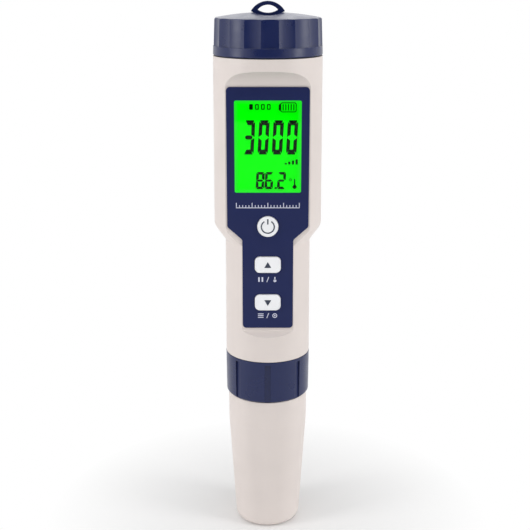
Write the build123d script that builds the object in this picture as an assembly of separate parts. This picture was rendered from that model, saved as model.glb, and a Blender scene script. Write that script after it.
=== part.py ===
from build123d import *
import math
import os

os.makedirs("parts", exist_ok=True)

# Pocket salinity and pH tester, standing on its probe cap.
# Millimetres, +Z up, the display faces -Y, origin at the middle of the base.

# Lengths along the axis, from the base up
probe_cap_length = 52.4
collar_length = 15.7
grip_length = 42.5
shoulder_length = 5.5
head_length = 59.1
battery_cap_length = 12.3
dome_rise = 1.8
seam = 0.2
cap_seam = 0.3

# Outer radii
probe_cap_base_radius = 11.9
probe_cap_mouth_radius = 14.5
probe_cap_straight = 10.4
collar_top_radius = 15.35
collar_bottom_radius = 15.2
grip_bottom_radius = 15.3
grip_top_radius = 15.15
head_bottom_radius = 19.1
head_top_radius = 18.85
battery_cap_hem_radius = 18.87
battery_cap_rim_radius = 18.4

# Walls and clearances
housing_wall = 1.8
floor_wall = 1.8
slip_gap = 0.3
running_gap = 0.1
press_gap = 0.02
face_gap = 0.1
tool_over = 1.0

# Flat front with its sunk ends
flat_offset = 12.2
ramp_corner_height = 11.0
ramp_slope = 0.517
arch_gap = 0.2
arch_rise = 5.3
arch_bulge = 1.1
ramp_fillet = 0.8
shoulder_top_fillet = 4.0
shoulder_foot_fillet = 1.0

# Printed overlay on the flat
overlay_thickness = 0.4
overlay_bottom = 12.3
overlay_height = 85.3
overlay_head_width = 28.2
overlay_grip_width = 17.8
overlay_narrow_height = 44.8
overlay_chamfer_height = 49.4
overlay_corner = 1.3

# Display stack
view_width = 22.8
view_height = 31.6
view_bottom = 61.5
view_corner = 0.6
window_lip = 0.8
window_thickness = 0.8
glass_margin = 0.2
glass_thickness = 1.1
frame_margin = 0.1
frame_end_margin = 0.8
frame_wall = 0.8
backlight_thickness = 2.0
frame_floor = 1.0
zebra_width = 2.4
zebra_length = 20.0

# Buttons and their switches
button_clearance = 0.15
button_proud = 0.7
button_travel = 0.5
button_edge = 0.35
button_flange = 0.6
flange_thickness = 0.7
power_radius = 3.65
key_width = 9.1
key_height = 5.8
key_corner = 1.75
power_height = 49.6
up_height = 35.8
down_height = 21.9
switch_side = 6.0
switch_depth = 3.0
stem_radius = 1.6
stem_bore_depth = 1.4

# Board, carrier and small parts
board_front = 5.5
board_thickness = 1.6
board_head_width = 27.0
board_grip_width = 22.0
board_top = 95.5
board_step = 47.0
board_step_rise = 5.0
chip_depth = 1.2
processor_side = 7.0
processor_height = 66.0
amplifier_size = (5.0, 4.0)
amplifier_places = ((-3.5, 40.0), (3.5, 28.0))
crystal_size = (3.8, 8.0)
crystal_corner = 1.8
crystal_depth = 2.4
crystal_place = (6.0, 70.0)
rail_inner = 8.6
rail_outer = 11.0
rail_depth = 4.0
crossbar_height = 3.0
crossbar_depth = 2.0
crossbar_bottom = 6.0
shelf_thickness = 1.5
screw_radius = 0.9
screw_head_radius = 1.9
screw_head_height = 1.1
board_screw_length = 4.6
board_screw_x = 9.6
board_screw_heights = (9.5, 54.0)

# Neck, battery holder and cells
neck_radius = 17.0
neck_wall = 1.2
neck_height = 8.4
neck_slope = 1.5
throat_depth = 1.7
plate_thickness = 1.2
plate_sunk = 0.2
boss_radius = 2.4
boss_place = (11.3, -7.8)
boss_length = 8.0
boss_screw_length = 5.0
cell_radius = 5.8
cell_height = 5.4
cell_step_radius = 4.9
cell_step_height = 0.6
cell_count = 4
cell_bore_gap = 0.2
cell_offset = 6.6
cell_proud = 0.1
tube_wall = 1.0
tube_floor = 1.2
spring_height = 3.0
spring_wire = 0.3
spring_base_radius = 4.6
spring_top_radius = 1.8

# Battery cap with its contact disc
flute_count = 20
flute_depth = 0.5
flute_tool_radius = 16.0
flute_hem = 2.4
first_ridge = 11.0
rim_fillet = 0.7
hem_fillet = 0.4
cap_inner_gap = 0.3
cap_ceiling = 11.1
hub_radius = 2.5
hub_lip_radius = 3.1
hub_lip_height = 0.4
disc_radius = 14.0
disc_thickness = 0.8
disc_height = 9.4
lug_width = 3.0
lug_inner = 15.9
lug_outer = 16.9
lug_length = 6.7
notch_gap = 0.3
contact_radius = 2.9
contact_tip_radius = 1.4
gasket_inner = 17.1
gasket_outer = 18.3
gasket_thickness = 0.5
gasket_sunk = 0.3

# Lanyard loop on the dome
loop_half_width = 5.8
loop_corner_drop = 3.35
loop_height = 4.7
loop_thickness = 3.0
loop_top_band = 1.25
loop_bottom_band = 0.8
eye_half_width = 3.45
eye_corner_drop = 2.9
loop_rise = 3.7

# Lower neck, collar and probe
foot_radius = 13.2
foot_wall = 1.3
foot_length = 12.2
collar_lip = 2.0
collar_groove_count = 8
collar_groove_width = 2.2
collar_groove_depth = 0.5
collar_groove_top = 1.0
collar_bottom_fillet = 0.9
probe_gap = 0.1
flange_radius = 13.0
probe_flange = 1.4
spigot_length = 9.6
spigot_radius = 11.6
retainer_length = 8.0
retainer_radius = 12.6
taper_length = 14.0
probe_end_radius = 9.6
probe_face = 27.0
guard_wall = 1.1
guard_end = 8.0
guard_overlap = 3.5
guard_slot_width = 7.0
guard_slot_end = 3.0
guard_slot_height = 13.0
guard_slots = 4
probe_ring_section = 0.7
cap_ring_section = 0.45
cap_wall = 1.6
cap_floor = 2.0
base_fillet = 3.0

# Sensors on the probe face
bulb_radius = 3.0
bulb_height = 14.0
stem_glass_radius = 2.2
sensor_ring = 5.6
sensor_sunk = 4.0
pin_sensor_radius = 1.0
pin_sensor_end = 14.0
thermo_radius = 1.5
thermo_end = 15.0
thermo_tip_round = 1.35
junction_radius = 1.4
junction_proud = 1.5

# Plug between probe and housing
socket_thickness = 2.0
socket_hub_radius = 9.0
socket_gap = 0.3
contact_count = 6
contact_circle = 6.0
contact_pin_radius = 0.45
contact_sleeve_radius = 0.9
contact_bore_gap = 0.05
contact_pin_above = 5.0
contact_pin_sunk = 4.0

# Heights above the base, worked out from the lengths
collar_z = probe_cap_length + seam
collar_top_z = collar_z + collar_length
housing_z = collar_top_z + seam
shoulder_z = housing_z + grip_length
head_z = shoulder_z + shoulder_length
top_z = head_z + head_length
cap_z = top_z + cap_seam
rim_z = cap_z + battery_cap_length
dome_z = rim_z + dome_rise
loop_z = dome_z + loop_rise
foot_z = housing_z - foot_length
ledge_z = housing_z + floor_wall
neck_z = top_z + neck_height
plate_top_z = neck_z - plate_sunk
plate_z = plate_top_z - plate_thickness
flat_y = -flat_offset
overlay_y = flat_y - overlay_thickness
inner_flat_y = flat_y + housing_wall
glass_y = flat_y + window_thickness
frame_y = glass_y + glass_thickness
board_y = -board_front
board_back_y = board_y + board_thickness
overlay_z = housing_z + overlay_bottom
overlay_top_z = overlay_z + overlay_height
view_z = housing_z + view_bottom
view_mid_z = view_z + view_height / 2
neck_inner = neck_radius - neck_wall
foot_inner = foot_radius - foot_wall
head_inner = head_top_radius - housing_wall
grip_inner = grip_top_radius - housing_wall
socket_top_z = ledge_z + socket_thickness
cell_bore = cell_radius + cell_bore_gap
stack_z = plate_top_z + cell_proud - cell_count * cell_height
tube_z = stack_z - spring_height - tube_floor
cap_inner = neck_radius + cap_inner_gap
disc_z = cap_z + disc_height
ceiling_z = cap_z + cap_ceiling
flange_top_z = foot_z - probe_gap
flange_z = flange_top_z - probe_flange
spigot_top_z = flange_top_z + spigot_length
retainer_top_z = collar_z - seam
retainer_z = retainer_top_z - retainer_length
socket_hub_z = spigot_top_z + socket_gap
button_y = overlay_y - button_proud
flange_y = inner_flat_y + face_gap
stem_y = flange_y + flange_thickness
switch_y = board_y - switch_depth
cell_place = Pos(0, cell_offset, 0)


def turned(points):
    """A solid turned about the axis from a closed outline of radius and height."""
    outline = Plane.XZ * Polyline(*points, close=True)
    return revolve(make_face(outline), Axis.Z)


def ring(outer, inner, bottom, top):
    return Pos(0, 0, bottom) * extrude(Circle(outer) - Circle(inner), top - bottom)


def post(radius, bottom, top):
    return Pos(0, 0, bottom) * extrude(Circle(radius), top - bottom)


def front_slab(sketch, front, back):
    """A sketch drawn in X and Z, as a solid between two depths."""
    return extrude(Plane.XZ.offset(-front) * sketch, front - back)


def rounded(width, height, radius, middle_z, x=0.0):
    return Pos(x, middle_z) * RectangleRounded(width, height, radius)


def polar(count, radius, start=0.0):
    for index in range(count):
        angle = math.radians(start + index * 360 / count)
        yield radius * math.cos(angle), radius * math.sin(angle)


def seal_ring(outer, section, height):
    """A seal ring with chamfered edges, centred on a height."""
    half = section / 2
    inner = outer - 2 * section
    return turned([
        (inner, height - half),
        (inner + half, height - section),
        (outer - half, height - section),
        (outer, height - half),
        (outer, height + half),
        (outer - half, height + section),
        (inner + half, height + section),
        (inner, height + half),
    ])


def probe_seal():
    """The seal ring that slides in the housing's lower neck."""
    return seal_ring(foot_inner - running_gap, probe_ring_section, flange_top_z + spigot_length / 2)


def cap_seal():
    """The seal ring that the probe cap grips."""
    outer = probe_cap_mouth_radius - cap_wall - running_gap
    return seal_ring(outer, cap_ring_section, retainer_top_z - retainer_length / 2)


def recess_profile(grow):
    """Side view of the sunk flat, moved inwards by grow for the inner wall."""
    depth = flat_y + grow
    reach = -head_bottom_radius - housing_wall * 2
    corner_z = housing_z + ramp_corner_height - grow
    low_z = corner_z - ramp_slope * (depth - reach)
    arch_start = (depth, overlay_top_z + arch_gap + grow)
    arch_end = (-head_top_radius, overlay_top_z + arch_gap + arch_rise + grow)
    lines = Polyline((reach, low_z), (depth, corner_z), arch_start)
    lines += SagittaArc(arch_start, arch_end, -arch_bulge)
    lines += Polyline(arch_end, (reach, arch_end[1]), (reach, low_z))
    outline = make_face(lines)
    corner = outline.vertices().sort_by(lambda v: abs(v.X - depth) + abs(v.Y - corner_z))[0]
    return Plane.YZ * fillet(corner, ramp_fillet)


def recess(grow=0.0):
    return extrude(recess_profile(grow), head_bottom_radius * 2, both=True)


def housing_outside():
    outline = make_face(Polyline(
        (0, housing_z),
        (grip_bottom_radius, housing_z),
        (grip_top_radius, shoulder_z),
        (head_bottom_radius, head_z),
        (head_top_radius, top_z),
        (0, top_z),
        close=True,
    ))
    foot = outline.vertices().sort_by(lambda v: abs(v.Y - shoulder_z))[0]
    outline = fillet(foot, shoulder_foot_fillet)
    crown = outline.vertices().sort_by(lambda v: abs(v.Y - head_z) - v.X)[0]
    outline = fillet(crown, shoulder_top_fillet)
    return revolve(Plane.XZ * outline, Axis.Z)


def housing_inside():
    head_floor_z = head_z + housing_wall / 2
    throat_z = top_z - throat_depth
    cavity = turned([
        (0, ledge_z),
        (grip_inner, ledge_z),
        (grip_inner, shoulder_z + housing_wall / 2),
        (head_inner, head_floor_z),
        (head_inner, throat_z - neck_slope),
        (neck_inner, throat_z),
        (neck_inner, neck_z),
        (0, neck_z),
    ])
    return cavity - recess(housing_wall)


def carrier_bosses(radius, bottom, top):
    x, y = boss_place
    return [Pos(side * x, y, 0) * post(radius, bottom, top) for side in (-1, 1)]


def neck_notches():
    width = lug_width + 2 * notch_gap
    depth = 2 * (neck_wall + tool_over)
    bottom = disc_z - lug_length - notch_gap
    height = neck_z - bottom + tool_over
    block = Box(depth, width, height, align=(Align.CENTER, Align.CENTER, Align.MIN))
    return [Pos(side * neck_radius, 0, bottom) * block for side in (-1, 1)]


def key_sketch(middle_z, grow=0.0):
    return rounded(key_width + 2 * grow, key_height + 2 * grow, key_corner + grow, middle_z)


def power_sketch(middle_z, grow=0.0):
    return Pos(0, middle_z) * Circle(power_radius + grow)


buttons = {
    "power": (power_sketch, housing_z + power_height),
    "up": (key_sketch, housing_z + up_height),
    "down": (key_sketch, housing_z + down_height),
}


def button_holes(front, back):
    return [front_slab(shape(z, button_clearance), front, back) for shape, z in buttons.values()]


def window_sketch(grow):
    return rounded(view_width + 2 * grow, view_height + 2 * grow, view_corner + grow, view_mid_z)


def main_housing():
    body = housing_outside() - recess()
    body += ring(neck_radius, neck_inner, top_z - throat_depth, neck_z)
    body += ring(foot_radius, foot_inner, foot_z, ledge_z)
    body -= housing_inside()
    body -= post(foot_inner, foot_z, ledge_z)
    boss_top = plate_z
    boss_ring = post(neck_inner + neck_wall / 2, boss_top - boss_length, boss_top)
    bore_bottom = plate_top_z - boss_screw_length - tool_over
    for boss in carrier_bosses(boss_radius, boss_top - boss_length, boss_top):
        body += boss & boss_ring
    for hole in carrier_bosses(screw_radius + press_gap, bore_bottom, boss_top):
        body -= hole
    body -= front_slab(window_sketch(window_lip + press_gap), flat_y, glass_y)
    body -= front_slab(window_sketch(glass_margin + press_gap), glass_y, frame_y + tool_over)
    for hole in button_holes(flat_y, inner_flat_y + tool_over):
        body -= hole
    for notch in neck_notches():
        body -= notch
    body -= ring(gasket_outer + press_gap, gasket_inner - face_gap, top_z - gasket_sunk, top_z)
    return body


def overlay_sketch():
    head = overlay_head_width / 2
    grip = overlay_grip_width / 2
    narrow_z = housing_z + overlay_narrow_height
    wide_z = housing_z + overlay_chamfer_height
    outline = make_face(Polyline(
        (-grip, overlay_z),
        (grip, overlay_z),
        (grip, narrow_z),
        (head, wide_z),
        (head, overlay_top_z),
        (-head, overlay_top_z),
        (-head, wide_z),
        (-grip, narrow_z),
        close=True,
    ))
    return fillet(outline.vertices(), overlay_corner)


def display_overlay():
    sheet = front_slab(overlay_sketch(), overlay_y, flat_y)
    sheet -= front_slab(window_sketch(0), overlay_y, flat_y)
    for hole in button_holes(overlay_y, flat_y):
        sheet -= hole
    return sheet


def display_window():
    return front_slab(window_sketch(window_lip), flat_y, glass_y)


def lcd_glass():
    return front_slab(window_sketch(glass_margin), glass_y, frame_y)


def zebra_places():
    end = view_height / 2 + glass_margin - zebra_width / 2 - frame_margin
    return [view_mid_z - end, view_mid_z + end]


def frame_bay_height():
    low, high = zebra_places()
    return high - low - zebra_width - 2 * frame_wall


def display_frame():
    width = view_width + 2 * glass_margin
    height = view_height + 2 * frame_end_margin
    floor_y = frame_y + backlight_thickness
    bay_width = width - 2 * frame_wall
    block = front_slab(rounded(width, height, view_corner, view_mid_z), frame_y, board_y)
    bay = rounded(bay_width, frame_bay_height(), view_corner, view_mid_z)
    block -= front_slab(bay, frame_y, floor_y)
    block -= front_slab(bay, floor_y + frame_floor, board_y)
    for place in zebra_places():
        slot = Pos(0, place) * Rectangle(zebra_length + face_gap, zebra_width + face_gap)
        block -= front_slab(slot, frame_y, board_y)
    return block


def backlight_panel():
    width = view_width + 2 * glass_margin - 2 * frame_wall - face_gap
    sheet = rounded(width, frame_bay_height() - face_gap, view_corner, view_mid_z)
    return front_slab(sheet, frame_y, frame_y + backlight_thickness)


def zebra_strips():
    strip = Rectangle(zebra_length, zebra_width)
    return Compound([front_slab(Pos(0, z) * strip, frame_y, board_y) for z in zebra_places()])


def board_screw_places():
    return [(side * board_screw_x, housing_z + height)
            for height in board_screw_heights for side in (-1, 1)]


def main_board():
    head = board_head_width / 2
    grip = board_grip_width / 2
    step = housing_z + board_step
    outline = make_face(Polyline(
        (-grip, socket_top_z),
        (grip, socket_top_z),
        (grip, step),
        (head, step + board_step_rise),
        (head, housing_z + board_top),
        (-head, housing_z + board_top),
        (-head, step + board_step_rise),
        (-grip, step),
        close=True,
    ))
    for x, z in board_screw_places():
        outline -= Pos(x, z) * Circle(screw_radius + press_gap)
    return front_slab(outline, board_y, board_back_y)


def board_chips():
    """The parts on the back of the board, clear of the battery tube above them."""
    processor = Pos(0, housing_z + processor_height) * Rectangle(processor_side, processor_side)
    chips = [front_slab(processor, board_back_y, board_back_y + chip_depth)]
    for x, height in amplifier_places:
        amplifier = Pos(x, housing_z + height) * Rectangle(*amplifier_size)
        chips.append(front_slab(amplifier, board_back_y, board_back_y + chip_depth))
    x, height = crystal_place
    crystal = Pos(x, housing_z + height) * RectangleRounded(*crystal_size, crystal_corner)
    chips.append(front_slab(crystal, board_back_y, board_back_y + crystal_depth))
    return Compound(chips)


def switch_bodies():
    bodies = []
    for shape, z in buttons.values():
        body = front_slab(Pos(0, z) * Rectangle(switch_side, switch_side), switch_y, board_y)
        bore = Pos(0, z) * Circle(stem_radius + running_gap)
        bodies.append(body - front_slab(bore, switch_y, switch_y + stem_bore_depth))
    return Compound(bodies)


def switch_stem(name):
    z = buttons[name][1]
    end = switch_y + stem_bore_depth - button_travel - running_gap
    return front_slab(Pos(0, z) * Circle(stem_radius), stem_y, end)


def button(name):
    shape, z = buttons[name]
    cap = front_slab(shape(z), button_y, flange_y)
    face = cap.faces().sort_by(Axis.Y)[0]
    cap = fillet(face.edges(), button_edge)
    return cap + front_slab(shape(z, button_flange), flange_y, stem_y)


def board_screws():
    screws = []
    for x, z in board_screw_places():
        head = front_slab(Pos(x, z) * Circle(screw_head_radius), board_y - screw_head_height, board_y)
        shank = front_slab(Pos(x, z) * Circle(screw_radius), board_y, board_y + board_screw_length)
        screws.append(head + shank)
    return Compound(screws)


def chassis():
    rail_back = board_back_y + rail_depth
    rail_width = rail_outer - rail_inner
    rail_height = plate_z - socket_top_z
    body = post(neck_inner - cell_bore_gap, plate_z, plate_top_z)
    body -= cell_place * post(cell_bore, plate_z, plate_top_z)
    for side in (-1, 1):
        rail = Rectangle(rail_width, rail_height)
        rail = Pos(side * (rail_inner + rail_width / 2), socket_top_z + rail_height / 2) * rail
        body += front_slab(rail, board_back_y, rail_back)
    bar = Rectangle(2 * rail_outer, crossbar_height)
    bar = Pos(0, housing_z + crossbar_bottom + crossbar_height / 2) * bar
    body += front_slab(bar, board_back_y, board_back_y + crossbar_depth)
    shelf = Rectangle(2 * rail_outer, cell_offset - board_back_y)
    shelf = Pos(0, (cell_offset + board_back_y) / 2) * shelf
    shelf += Pos(0, cell_offset) * Circle(cell_bore + tube_wall)
    body += Pos(0, 0, tube_z - shelf_thickness) * extrude(shelf, shelf_thickness)
    for x, z in board_screw_places():
        hole = Pos(x, z) * Circle(screw_radius + press_gap)
        body -= front_slab(hole, board_back_y, rail_back)
    for hole in carrier_bosses(screw_radius + press_gap, plate_z, plate_top_z):
        body -= hole
    return body


def chassis_screws():
    x, y = boss_place
    screws = []
    for side in (-1, 1):
        head = post(screw_head_radius, plate_top_z, plate_top_z + screw_head_height)
        shank = post(screw_radius, plate_top_z - boss_screw_length, plate_top_z)
        screws.append(Pos(side * x, y, 0) * (head + shank))
    return Compound(screws)


def battery_tube():
    outer = cell_bore + tube_wall
    return cell_place * (ring(outer, cell_bore, tube_z, plate_z) + post(outer, tube_z, tube_z + tube_floor))


def button_cells():
    cells = []
    for index in range(cell_count):
        bottom = stack_z + index * cell_height
        step_z = bottom + cell_height - cell_step_height
        cell = turned([
            (0, bottom),
            (cell_radius, bottom),
            (cell_radius, step_z),
            (cell_step_radius, step_z),
            (cell_step_radius, bottom + cell_height),
            (0, bottom + cell_height),
        ])
        cells.append(cell_place * cell)
    return Compound(cells)


def spring_dish(base_radius, tip_radius, base_z, tip_z):
    """A thin pressed cone that springs between its wide rim and its tip."""
    wire = spring_wire if tip_z > base_z else -spring_wire
    return turned([
        (base_radius, base_z),
        (tip_radius, tip_z - wire),
        (0, tip_z - wire),
        (0, tip_z),
        (tip_radius, tip_z),
        (base_radius + spring_wire, base_z),
    ])


def battery_spring():
    return cell_place * spring_dish(spring_base_radius, spring_top_radius, tube_z + tube_floor, stack_z)


def contact_holes(radius, bottom, top):
    for x, y in polar(contact_count, contact_circle, 30):
        yield Pos(x, y, 0) * post(radius, bottom, top)


def probe_socket():
    body = post(grip_inner - face_gap, ledge_z, socket_top_z)
    body += post(socket_hub_radius, socket_hub_z, ledge_z)
    for hole in contact_holes(contact_sleeve_radius + press_gap, socket_hub_z, socket_top_z):
        body -= hole
    return body


def socket_contacts():
    sleeves = contact_holes(contact_sleeve_radius, socket_hub_z, socket_top_z)
    bores = contact_holes(contact_pin_radius + contact_bore_gap, socket_hub_z, socket_top_z - press_gap)
    return Compound([sleeve - bore for sleeve, bore in zip(sleeves, bores)])


def battery_cap_seal():
    bottom = top_z - gasket_sunk
    return ring(gasket_outer, gasket_inner, bottom, bottom + gasket_thickness)


def contact_disc():
    disc = post(disc_radius, disc_z, disc_z + disc_thickness)
    arm = Box(2 * lug_outer, lug_width, disc_thickness, align=(Align.CENTER, Align.CENTER, Align.MIN))
    disc += Pos(0, 0, disc_z) * arm
    lug = Box(lug_outer - lug_inner, lug_width, lug_length, align=(Align.CENTER, Align.CENTER, Align.MIN))
    for side in (-1, 1):
        disc += Pos(side * (lug_outer + lug_inner) / 2, 0, disc_z - lug_length) * lug
    return disc - post(hub_radius + running_gap, disc_z, disc_z + disc_thickness)


def battery_contact():
    tip_z = plate_top_z + cell_proud + press_gap
    return cell_place * spring_dish(contact_radius, contact_tip_radius, disc_z, tip_z)


def cap_flutes():
    """Wide shallow scallops round the cap, each following the taper of its wall."""
    centre = battery_cap_rim_radius - flute_depth + flute_tool_radius
    lean = math.degrees(math.atan((battery_cap_hem_radius - battery_cap_rim_radius) / battery_cap_length))
    length = battery_cap_length + dome_rise
    tool = Cylinder(flute_tool_radius, length, align=(Align.CENTER, Align.CENTER, Align.MIN))
    tool = Pos(0, 0, rim_z) * Rot(0, -lean, 0) * Pos(centre, 0, flute_hem - battery_cap_length) * tool
    step = 360 / flute_count
    for index in range(flute_count):
        yield Rot(0, 0, first_ridge - 90 + step * (index + 0.5)) * tool


def lens(half_width, corner_z, top, bottom):
    left = (-half_width, corner_z)
    right = (half_width, corner_z)
    lines = ThreePointArc(left, (0, top), right)
    lines += ThreePointArc(right, (0, bottom), left)
    return make_face(lines)


def lanyard_loop():
    outer = lens(loop_half_width, loop_z - loop_corner_drop, loop_z, loop_z - loop_height)
    inner = lens(
        eye_half_width,
        loop_z - eye_corner_drop,
        loop_z - loop_top_band,
        loop_z - loop_height + loop_bottom_band,
    )
    return outer, inner


def battery_cap():
    dome_radius = (battery_cap_rim_radius ** 2 + dome_rise ** 2) / (2 * dome_rise)
    rim = (battery_cap_rim_radius, rim_z)
    outline = Polyline((0, dome_z), (0, cap_z), (battery_cap_hem_radius, cap_z), rim)
    outline += RadiusArc(rim, (0, dome_z), -dome_radius)
    outline = make_face(outline)
    corners = outline.vertices().sort_by(Axis.X)
    outline = fillet(corners[-1], hem_fillet)
    corner = outline.vertices().sort_by(lambda v: abs(v.Y - rim_z) + abs(v.X - battery_cap_rim_radius))[0]
    outline = fillet(corner, rim_fillet)
    body = revolve(Plane.XZ * outline, Axis.Z)
    for flute in cap_flutes():
        body -= flute
    outer, inner = lanyard_loop()
    trough = front_slab(outer, -battery_cap_rim_radius, battery_cap_rim_radius)
    body -= trough
    body += front_slab(outer, -loop_thickness / 2, loop_thickness / 2)
    body -= front_slab(inner, -loop_thickness, loop_thickness)
    body -= post(cap_inner, cap_z, ceiling_z)
    lip_z = disc_z - slip_gap
    body += post(hub_radius, lip_z, ceiling_z)
    body += post(hub_lip_radius, lip_z - hub_lip_height, lip_z)
    return body


def threaded_collar():
    body = turned([
        (0, collar_z),
        (collar_bottom_radius, collar_z),
        (collar_top_radius, collar_top_z),
        (0, collar_top_z),
    ])
    edge = body.edges().filter_by(GeomType.CIRCLE).sort_by(Axis.Z)[0]
    body = fillet(edge, collar_bottom_fillet)
    groove = Box(
        2 * collar_groove_depth,
        collar_groove_width,
        collar_length - collar_groove_top,
        align=(Align.CENTER, Align.CENTER, Align.MIN),
    )
    for x, y in polar(collar_groove_count, collar_bottom_radius, 90):
        turn = math.degrees(math.atan2(y, x))
        body -= Pos(x, y, collar_z) * Rot(0, 0, turn) * groove
    body -= post(foot_radius + slip_gap, collar_z + collar_lip, collar_top_z)
    body -= post(spigot_radius + slip_gap, collar_z, collar_z + collar_lip)
    return body


def probe_body():
    body = turned([
        (0, probe_face),
        (probe_end_radius - guard_wall, probe_face),
        (probe_end_radius - guard_wall, probe_face + guard_overlap),
        (probe_end_radius, probe_face + guard_overlap),
        (spigot_radius, probe_face + guard_overlap + taper_length - guard_overlap),
        (spigot_radius, flange_z),
        (flange_radius, flange_z),
        (flange_radius, flange_top_z),
        (spigot_radius, flange_top_z),
        (spigot_radius, spigot_top_z),
        (0, spigot_top_z),
    ])
    body -= probe_seal()
    body -= post(stem_glass_radius + press_gap, probe_face, probe_face + sensor_sunk)
    for x, y, radius in sensor_places():
        body -= Pos(x, y, 0) * post(radius + press_gap, probe_face, probe_face + sensor_sunk)
    for hole in contact_holes(contact_pin_radius + press_gap, spigot_top_z - contact_pin_sunk, spigot_top_z):
        body -= hole
    return body


def sensor_places():
    return [
        (-sensor_ring, 0, pin_sensor_radius),
        (sensor_ring, 0, pin_sensor_radius),
        (0, sensor_ring, thermo_radius),
        (0, -sensor_ring, junction_radius),
    ]


def collar_retainer():
    body = ring(retainer_radius, spigot_radius, retainer_z, retainer_top_z)
    return body - cap_seal()


def probe_pins():
    return Compound(list(contact_holes(
        contact_pin_radius, spigot_top_z - contact_pin_sunk, spigot_top_z + contact_pin_above)))


def ph_bulb():
    return Pos(0, 0, bulb_height) * Sphere(bulb_radius)


def ph_stem():
    body = post(stem_glass_radius, bulb_height, probe_face + sensor_sunk)
    return body - Pos(0, 0, bulb_height) * Sphere(bulb_radius + press_gap)


def conductivity_pins():
    pins = []
    for side in (-1, 1):
        pin = post(pin_sensor_radius, pin_sensor_end, probe_face + sensor_sunk)
        pins.append(Pos(side * sensor_ring, 0, 0) * pin)
    return Compound(pins)


def temperature_sensor():
    body = post(thermo_radius, thermo_end, probe_face + sensor_sunk)
    body = fillet(body.edges().sort_by(Axis.Z)[0], thermo_tip_round)
    return Pos(0, sensor_ring, 0) * body


def reference_junction():
    plug = post(junction_radius, probe_face - junction_proud, probe_face + sensor_sunk)
    return Pos(0, -sensor_ring, 0) * plug


def probe_guard():
    inner = probe_end_radius - guard_wall + press_gap
    body = ring(probe_end_radius, inner, guard_end, probe_face + guard_overlap)
    slot = Box(
        2 * probe_end_radius,
        guard_slot_width,
        guard_slot_height,
        align=(Align.MIN, Align.CENTER, Align.MIN),
    )
    for index in range(guard_slots):
        turn = 45 + index * 360 / guard_slots
        body -= Rot(0, 0, turn) * Pos(0, 0, guard_end + guard_slot_end) * slot
    return body


def probe_cap():
    taper_top = probe_cap_length - probe_cap_straight
    body = turned([
        (0, 0),
        (probe_cap_base_radius, 0),
        (probe_cap_mouth_radius, taper_top),
        (probe_cap_mouth_radius, probe_cap_length),
        (0, probe_cap_length),
    ])
    body = fillet(body.edges().filter_by(GeomType.CIRCLE).sort_by(Axis.Z)[0], base_fillet)
    hollow = turned([
        (0, cap_floor),
        (probe_cap_base_radius - cap_wall, cap_floor),
        (probe_cap_mouth_radius - cap_wall, taper_top),
        (probe_cap_mouth_radius - cap_wall, probe_cap_length),
        (0, probe_cap_length),
    ])
    hollow = fillet(hollow.edges().filter_by(GeomType.CIRCLE).sort_by(Axis.Z)[0], base_fillet - cap_wall)
    return body - hollow


def make_all():
    yield "main_housing", main_housing()
    yield "display_overlay", display_overlay()
    yield "display_window", display_window()
    yield "lcd_glass", lcd_glass()
    yield "display_frame", display_frame()
    yield "backlight_panel", backlight_panel()
    yield "zebra_strips", zebra_strips()
    yield "main_board", main_board()
    yield "board_chips", board_chips()
    yield "switch_bodies", switch_bodies()
    yield "board_screws", board_screws()
    yield "chassis", chassis()
    yield "chassis_screws", chassis_screws()
    yield "battery_tube", battery_tube()
    yield "button_cells", button_cells()
    yield "battery_spring", battery_spring()
    yield "probe_socket", probe_socket()
    yield "socket_contacts", socket_contacts()
    yield "battery_cap_seal", battery_cap_seal()
    yield "contact_disc", contact_disc()
    yield "battery_contact", battery_contact()
    yield "battery_cap", battery_cap()
    for name in buttons:
        yield name + "_button", button(name)
        yield name + "_switch_stem", switch_stem(name)
    yield "threaded_collar", threaded_collar()
    yield "probe_body", probe_body()
    yield "collar_retainer", collar_retainer()
    yield "probe_seal", probe_seal()
    yield "cap_seal", cap_seal()
    yield "probe_pins", probe_pins()
    yield "ph_bulb", ph_bulb()
    yield "ph_stem", ph_stem()
    yield "conductivity_pins", conductivity_pins()
    yield "temperature_sensor", temperature_sensor()
    yield "reference_junction", reference_junction()
    yield "probe_guard", probe_guard()
    yield "probe_cap", probe_cap()


for node, shape in make_all():
    export_step(shape, "parts/" + node + ".step")
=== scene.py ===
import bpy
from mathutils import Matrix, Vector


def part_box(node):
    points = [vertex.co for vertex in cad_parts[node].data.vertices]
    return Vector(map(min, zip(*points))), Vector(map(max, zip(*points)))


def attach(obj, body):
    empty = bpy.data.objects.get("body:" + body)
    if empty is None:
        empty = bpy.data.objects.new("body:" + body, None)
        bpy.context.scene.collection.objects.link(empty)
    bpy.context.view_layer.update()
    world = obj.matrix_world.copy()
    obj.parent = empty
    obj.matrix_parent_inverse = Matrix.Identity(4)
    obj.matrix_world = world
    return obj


bl_info = {
    "name": "Pocket water tester",
    "version": (1, 0, 0),
    "blender": (4, 5, 0),
    "location": "View3D > Sidebar > Tester",
    "description": "Dresses a pocket water tester: finishes, display marks, key signs and screw threads",
    "category": "Object",
}

import math

import bpy
from bpy.props import FloatProperty, FloatVectorProperty, IntProperty, PointerProperty
from bpy.types import Operator, Panel, PropertyGroup
from mathutils import Vector

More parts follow.
